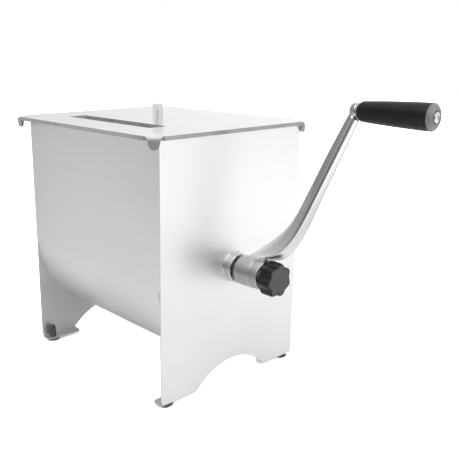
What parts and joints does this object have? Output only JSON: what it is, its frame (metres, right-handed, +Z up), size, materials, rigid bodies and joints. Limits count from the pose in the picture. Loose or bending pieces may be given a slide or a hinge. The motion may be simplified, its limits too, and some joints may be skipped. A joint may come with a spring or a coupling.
{
  "type": "hand crank meat mixer",
  "caption": "Stainless trough tank on two leg plates with a crank-turned paddle shaft, star knob, turning grip and clear slotted lid.",
  "frame": {"origin": "under the middle of the whole object's bounding box, on the surface that the feet stand on", "axes": "+X along the paddle shaft towards the crank, +Z up, -Y the long wall next to the lid's feed slot"},
  "size_m": [0.5248, 0.269, 0.3781],
  "materials": {
    "stainless_sheet": "fine satin grain",
    "turned_steel": "turned and lightly polished",
    "paddle_steel": "satin",
    "cast_metal": "polished casting",
    "nylon": "machined nylon",
    "rubber": "moulded rubber",
    "black_plastic": "fine moulded grain",
    "grey_plastic": "fine moulded grain",
    "grip_plastic": "satin moulded plastic",
    "insert_brass": "plain",
    "clear_sheet": "clear acrylic, polished"
  },
  "bodies": {
    "tank": {"front_end_plate": "stainless_sheet", "rear_end_plate": "stainless_sheet", "trough_shell": "stainless_sheet", "front_bearing_housing": "turned_steel", "rear_bearing_housing": "turned_steel", "front_bush": "nylon", "rear_bush": "nylon", "front_shaft_seal": "rubber", "rear_shaft_seal": "rubber", "foot_front_near": "rubber", "foot_front_far": "rubber", "foot_rear_near": "rubber", "foot_rear_far": "rubber"},
    "crank": {"drive_spindle": "turned_steel", "drive_pin": "turned_steel", "drive_pin_clip": "turned_steel", "paddle_shaft": "turned_steel", "paddle_1": "paddle_steel", "paddle_2": "paddle_steel", "paddle_3": "paddle_steel", "paddle_4": "paddle_steel", "paddle_5": "paddle_steel", "paddle_6": "paddle_steel", "crank_arm": "cast_metal", "knob_washer": "turned_steel", "grip_bolt": "turned_steel", "grip_washer": "turned_steel", "grip_nut": "turned_steel"},
    "grip": {"grip": "grip_plastic"},
    "knob_thread": {"knob_insert": "insert_brass"},
    "star_knob": {"star_knob": "black_plastic", "knob_cap": "grey_plastic"},
    "lid": {"lid": "clear_sheet", "lid_knob": "clear_sheet", "lid_knob_screw": "turned_steel"}
  },
  "joints": [
    {"name": "crank_turn", "type": "hinge", "parent": "tank", "child": "crank", "pos_m": [0.0441, 0.002, 0.162], "axis": [1, 0, 0], "continuous": true},
    {"name": "grip_turn", "type": "hinge", "parent": "crank", "child": "grip", "pos_m": [0.2141, 0.0831, 0.36274], "axis": [1, 0, 0], "continuous": true},
    {"name": "knob_travel", "type": "slide", "parent": "crank", "child": "knob_thread", "axis": [1, 0, 0], "range_m": [0, 0.01]},
    {"name": "knob_turn", "type": "hinge", "parent": "knob_thread", "child": "star_knob", "pos_m": [0.1101, 0.002, 0.162], "axis": [1, 0, 0], "range_deg": [0, 2400]},
    {"name": "lid_lift", "type": "slide", "parent": "tank", "child": "lid", "axis": [0, 0, 1], "range_m": [0, 0.08]}
  ],
  "couplings": [
    {"joint": "knob_travel", "follows": "knob_turn", "m_per_rad": 0.00023873}
  ]
}
